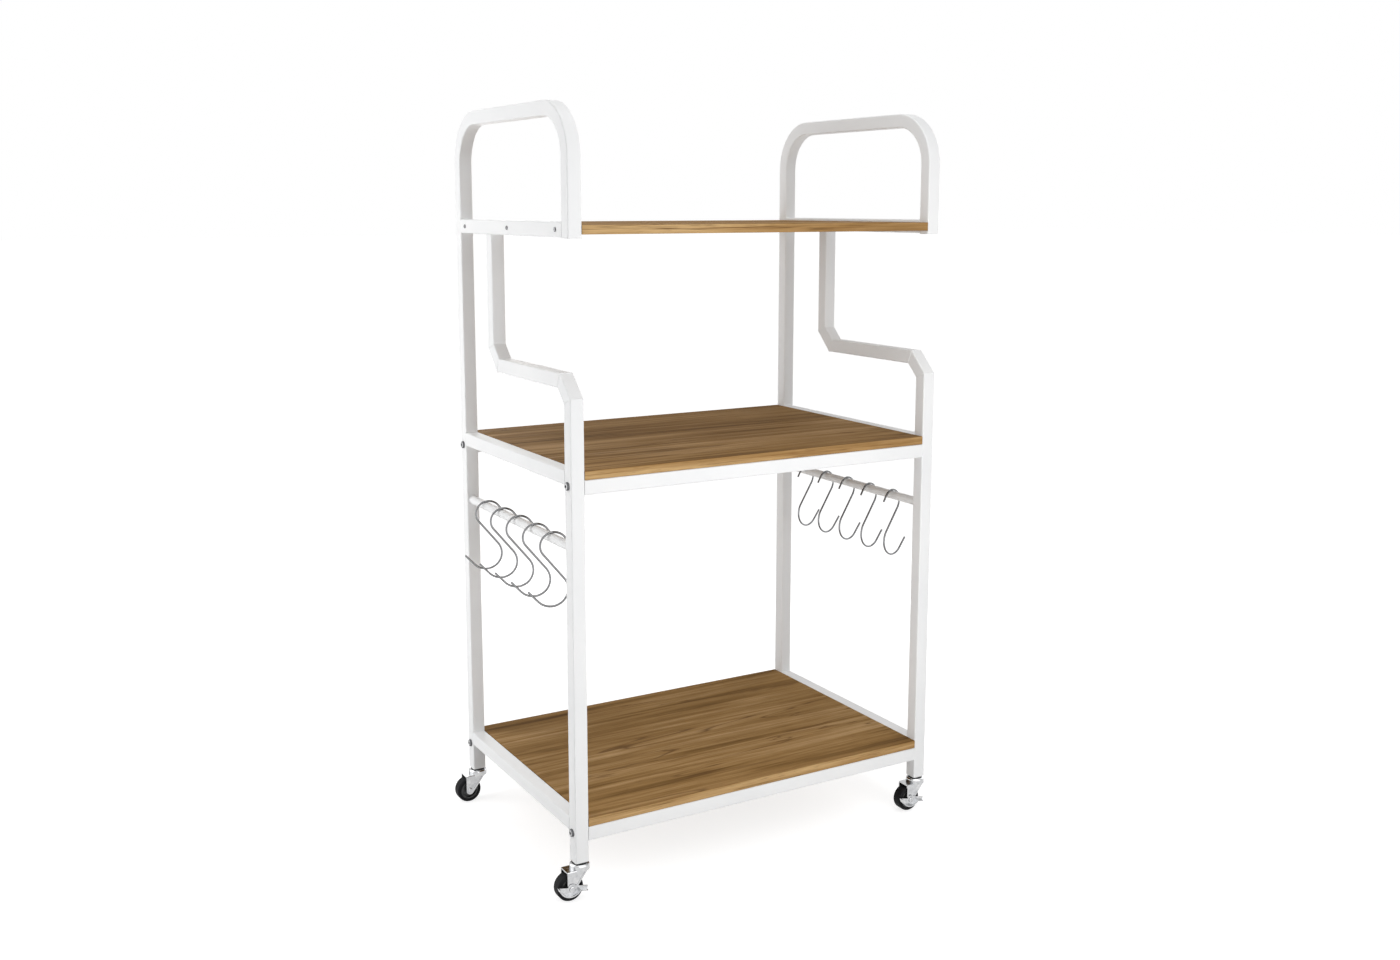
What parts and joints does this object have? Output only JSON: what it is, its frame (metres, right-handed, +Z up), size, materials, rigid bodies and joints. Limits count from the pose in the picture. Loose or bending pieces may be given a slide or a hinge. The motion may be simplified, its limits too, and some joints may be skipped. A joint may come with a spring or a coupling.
{
  "type": "rolling printer stand",
  "caption": "Tall rolling stand of white square tube with wood shelves, arched side handles, stepped armrests, swivel casters and rails of S hooks, for printers and office supplies.",
  "frame": {"origin": "On the floor, midway between the four legs, in the stand's left-right mirror plane.", "axes": "+X to the stand's right seen from the front, +Y from front to rear, +Z up."},
  "size_m": [0.6526, 0.4048, 1.066],
  "materials": {
    "white_powder_coat": "satin white powder coat",
    "wood_laminate": "matt brown wood-grain laminate",
    "white_plastic": "matt white plastic",
    "dark_steel": "dark zinc plate",
    "zinc_steel": "bright zinc plate",
    "bright_steel": "polished steel",
    "black_plastic": "matt black plastic",
    "black_rubber": "matt black rubber"
  },
  "bodies": {
    "frame": {"left_arch_tube": "white_powder_coat", "left_armrest_tube": "white_powder_coat", "left_top_rail": "white_powder_coat", "left_middle_rail": "white_powder_coat", "left_bottom_rail": "white_powder_coat", "left_hook_bar": "white_powder_coat", "right_arch_tube": "white_powder_coat", "right_armrest_tube": "white_powder_coat", "right_top_rail": "white_powder_coat", "right_middle_rail": "white_powder_coat", "right_bottom_rail": "white_powder_coat", "right_hook_bar": "white_powder_coat", "front_bottom_crossbar": "white_powder_coat", "front_middle_crossbar": "white_powder_coat", "rear_bottom_crossbar": "white_powder_coat", "rear_middle_crossbar": "white_powder_coat", "bottom_shelf": "wood_laminate", "middle_shelf": "wood_laminate", "top_shelf": "wood_laminate", "arch_end_caps": "white_plastic", "frame_bolts": "dark_steel", "crossbar_nuts": "zinc_steel", "top_shelf_screws": "dark_steel", "lower_shelf_screws": "dark_steel", "caster_sockets": "black_plastic", "swivel_balls": "bright_steel", "front_left_caster_stem": "zinc_steel", "front_right_caster_stem": "zinc_steel", "rear_left_caster_stem": "zinc_steel", "rear_right_caster_stem": "zinc_steel"},
    "front_left_fork": {"front_left_caster_fork": "zinc_steel", "front_left_caster_axle": "zinc_steel"},
    "front_left_wheel": {"front_left_wheel_hub": "black_plastic", "front_left_tyre": "black_rubber"},
    "front_left_brake": {"front_left_brake_pedal": "zinc_steel"},
    "front_right_fork": {"front_right_caster_fork": "zinc_steel", "front_right_caster_axle": "zinc_steel"},
    "front_right_wheel": {"front_right_wheel_hub": "black_plastic", "front_right_tyre": "black_rubber"},
    "front_right_brake": {"front_right_brake_pedal": "zinc_steel"},
    "rear_left_fork": {"rear_left_caster_fork": "zinc_steel", "rear_left_caster_axle": "zinc_steel"},
    "rear_left_wheel": {"rear_left_wheel_hub": "black_plastic", "rear_left_tyre": "black_rubber"},
    "rear_right_fork": {"rear_right_caster_fork": "zinc_steel", "rear_right_caster_axle": "zinc_steel"},
    "rear_right_wheel": {"rear_right_wheel_hub": "black_plastic", "rear_right_tyre": "black_rubber"},
    "left_hook_1": {"left_hook_1": "bright_steel"},
    "left_hook_2": {"left_hook_2": "bright_steel"},
    "left_hook_3": {"left_hook_3": "bright_steel"},
    "left_hook_4": {"left_hook_4": "bright_steel"},
    "left_hook_5": {"left_hook_5": "bright_steel"},
    "right_hook_1": {"right_hook_1": "bright_steel"},
    "right_hook_2": {"right_hook_2": "bright_steel"},
    "right_hook_3": {"right_hook_3": "bright_steel"},
    "right_hook_4": {"right_hook_4": "bright_steel"},
    "right_hook_5": {"right_hook_5": "bright_steel"}
  },
  "joints": [
    {"name": "front_left_swivel", "type": "hinge", "parent": "frame", "child": "front_left_fork", "pos_m": [-0.29, -0.1865, 0.045], "axis": [0, 0, 1], "continuous": true},
    {"name": "front_left_wheel_spin", "type": "hinge", "parent": "front_left_fork", "child": "front_left_wheel", "pos_m": [-0.307, -0.1865, 0.019], "axis": [0, 1, 0], "continuous": true},
    {"name": "front_left_brake_press", "type": "hinge", "parent": "front_left_fork", "child": "front_left_brake", "pos_m": [-0.307, -0.1865, 0.019], "axis": [0, -1, 0], "range_deg": [0, 22]},
    {"name": "front_right_swivel", "type": "hinge", "parent": "frame", "child": "front_right_fork", "pos_m": [0.29, -0.1865, 0.045], "axis": [0, 0, 1], "continuous": true},
    {"name": "front_right_wheel_spin", "type": "hinge", "parent": "front_right_fork", "child": "front_right_wheel", "pos_m": [0.273, -0.1865, 0.019], "axis": [0, 1, 0], "continuous": true},
    {"name": "front_right_brake_press", "type": "hinge", "parent": "front_right_fork", "child": "front_right_brake", "pos_m": [0.273, -0.1865, 0.019], "axis": [0, -1, 0], "range_deg": [0, 22]},
    {"name": "rear_left_swivel", "type": "hinge", "parent": "frame", "child": "rear_left_fork", "pos_m": [-0.29, 0.1865, 0.045], "axis": [0, 0, 1], "continuous": true},
    {"name": "rear_left_wheel_spin", "type": "hinge", "parent": "rear_left_fork", "child": "rear_left_wheel", "pos_m": [-0.307, 0.1865, 0.019], "axis": [0, 1, 0], "continuous": true},
    {"name": "rear_right_swivel", "type": "hinge", "parent": "frame", "child": "rear_right_fork", "pos_m": [0.29, 0.1865, 0.045], "axis": [0, 0, 1], "continuous": true},
    {"name": "rear_right_wheel_spin", "type": "hinge", "parent": "rear_right_fork", "child": "rear_right_wheel", "pos_m": [0.273, 0.1865, 0.019], "axis": [0, 1, 0], "continuous": true},
    {"name": "left_hook_1_swing", "type": "hinge", "parent": "frame", "child": "left_hook_1", "pos_m": [-0.29, -0.1152, 0.4855], "axis": [0, 1, 0], "range_deg": [-60, 60]},
    {"name": "left_hook_2_swing", "type": "hinge", "parent": "frame", "child": "left_hook_2", "pos_m": [-0.29, -0.0566, 0.4855], "axis": [0, 1, 0], "range_deg": [-60, 60]},
    {"name": "left_hook_3_swing", "type": "hinge", "parent": "frame", "child": "left_hook_3", "pos_m": [-0.29, 0.002, 0.4855], "axis": [0, 1, 0], "range_deg": [-60, 60]},
    {"name": "left_hook_4_swing", "type": "hinge", "parent": "frame", "child": "left_hook_4", "pos_m": [-0.29, 0.0606, 0.4855], "axis": [0, 1, 0], "range_deg": [-60, 60]},
    {"name": "left_hook_5_swing", "type": "hinge", "parent": "frame", "child": "left_hook_5", "pos_m": [-0.29, 0.1192, 0.4855], "axis": [0, 1, 0], "range_deg": [-60, 60]},
    {"name": "right_hook_1_swing", "type": "hinge", "parent": "frame", "child": "right_hook_1", "pos_m": [0.29, -0.1152, 0.4855], "axis": [0, 1, 0], "range_deg": [-60, 60]},
    {"name": "right_hook_2_swing", "type": "hinge", "parent": "frame", "child": "right_hook_2", "pos_m": [0.29, -0.0566, 0.4855], "axis": [0, 1, 0], "range_deg": [-60, 60]},
    {"name": "right_hook_3_swing", "type": "hinge", "parent": "frame", "child": "right_hook_3", "pos_m": [0.29, 0.002, 0.4855], "axis": [0, 1, 0], "range_deg": [-60, 60]},
    {"name": "right_hook_4_swing", "type": "hinge", "parent": "frame", "child": "right_hook_4", "pos_m": [0.29, 0.0606, 0.4855], "axis": [0, 1, 0], "range_deg": [-60, 60]},
    {"name": "right_hook_5_swing", "type": "hinge", "parent": "frame", "child": "right_hook_5", "pos_m": [0.29, 0.1192, 0.4855], "axis": [0, 1, 0], "range_deg": [-60, 60]}
  ]
}
